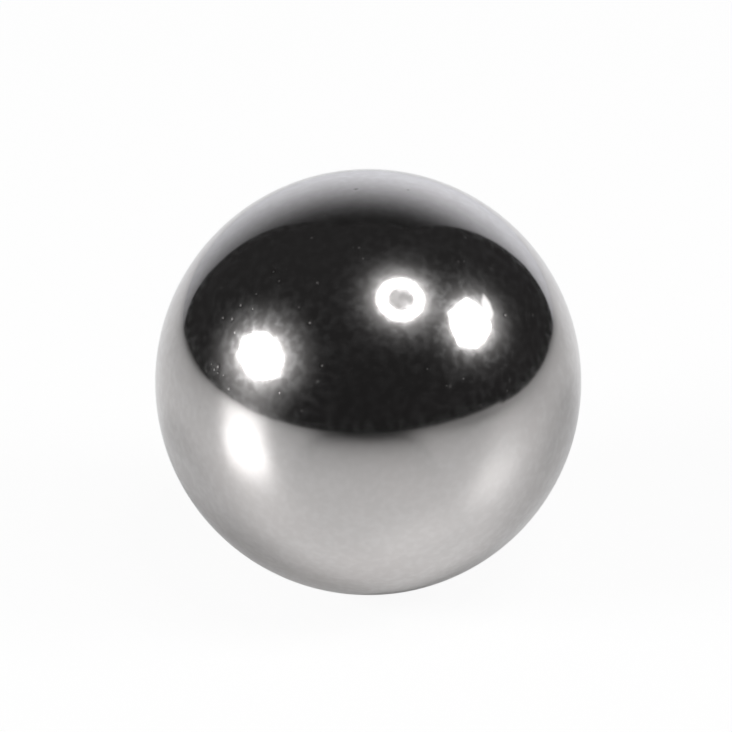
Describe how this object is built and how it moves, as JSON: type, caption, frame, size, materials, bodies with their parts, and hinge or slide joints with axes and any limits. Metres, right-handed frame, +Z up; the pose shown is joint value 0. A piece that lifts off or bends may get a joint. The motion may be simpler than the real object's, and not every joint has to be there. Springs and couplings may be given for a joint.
{
  "type": "steel ball",
  "caption": "Solid mirror-polished steel ball, one plain sphere that rolls freely or sits in a cup, cone or groove.",
  "frame": {"origin": "centre of the ball", "axes": "+Z up, away from the surface that the ball is set down on; X and Y are free, because the ball is the same in every direction"},
  "size_m": [0.0254, 0.0254, 0.0254],
  "materials": {
    "polished_steel": "polished"
  },
  "bodies": {
    "root": {"steel_ball": "polished_steel"}
  },
  "joints": []
}
